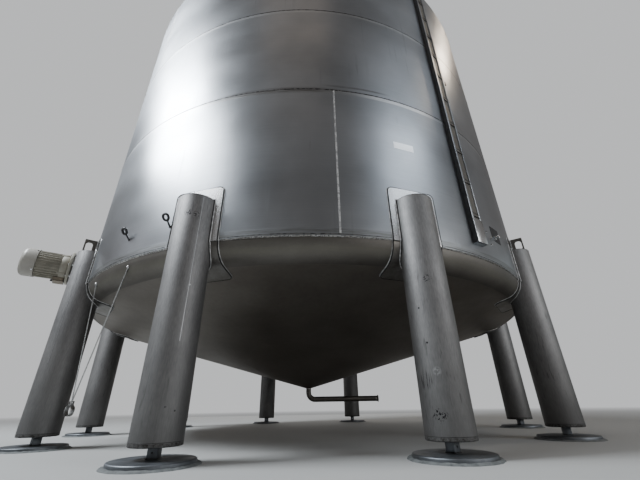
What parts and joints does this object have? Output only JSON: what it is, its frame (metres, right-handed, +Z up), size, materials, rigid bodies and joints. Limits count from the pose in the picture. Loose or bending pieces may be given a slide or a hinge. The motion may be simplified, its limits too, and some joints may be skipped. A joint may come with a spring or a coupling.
{
  "type": "vertical storage tank",
  "caption": "Upright stainless storage tank with cone ends on tube legs, with a side agitator drive, a cable duct and a bottom outlet.",
  "frame": {"origin": "on the level floor, on the tank's upright axis", "axes": "+Z up; -Y towards the front, where the cable duct is to the right and the agitator drive to the left; +X to the right"},
  "size_m": [5.7379, 5.2686, 6.0013],
  "materials": {
    "shell_steel": "brushed stainless plate",
    "head_steel": "matt pickled stainless plate",
    "leg_steel": "satin stainless tube with scuffs",
    "foot_steel": "smooth machined stainless",
    "small_steel": "satin stainless fittings",
    "dark_steel": "dark dull metal",
    "motor_paint": "cream grey paint"
  },
  "bodies": {
    "root": {"shell_lower_plate_1": "shell_steel", "shell_lower_plate_2": "shell_steel", "shell_lower_plate_3": "shell_steel", "shell_middle_plate_1": "shell_steel", "shell_middle_plate_2": "shell_steel", "shell_middle_plate_3": "shell_steel", "shell_upper_plate_1": "shell_steel", "shell_upper_plate_2": "shell_steel", "shell_upper_plate_3": "shell_steel", "bottom_knuckle": "head_steel", "bottom_cone": "head_steel", "roof_knuckle": "head_steel", "roof_cone": "head_steel", "manway_lid": "head_steel", "leg_01": "leg_steel", "foot_01": "foot_steel", "leg_02": "leg_steel", "foot_02": "foot_steel", "leg_03": "leg_steel", "foot_03": "foot_steel", "leg_04": "leg_steel", "foot_04": "foot_steel", "leg_05": "leg_steel", "foot_05": "foot_steel", "leg_06": "leg_steel", "foot_06": "foot_steel", "leg_07": "leg_steel", "foot_07": "foot_steel", "leg_08": "leg_steel", "foot_08": "foot_steel", "leg_09": "leg_steel", "foot_09": "foot_steel", "leg_10": "leg_steel", "foot_10": "foot_steel", "cable_duct": "shell_steel", "temperature_probe": "small_steel", "shell_hook_1": "dark_steel", "shell_hook_2": "dark_steel", "pipe_hanger": "small_steel", "agitator_shell_flange": "small_steel", "agitator_lantern": "dark_steel", "motor_body": "motor_paint", "motor_fan_cover": "motor_paint", "motor_terminal_box": "motor_paint", "outlet_pipe": "small_steel"}
  },
  "joints": []
}
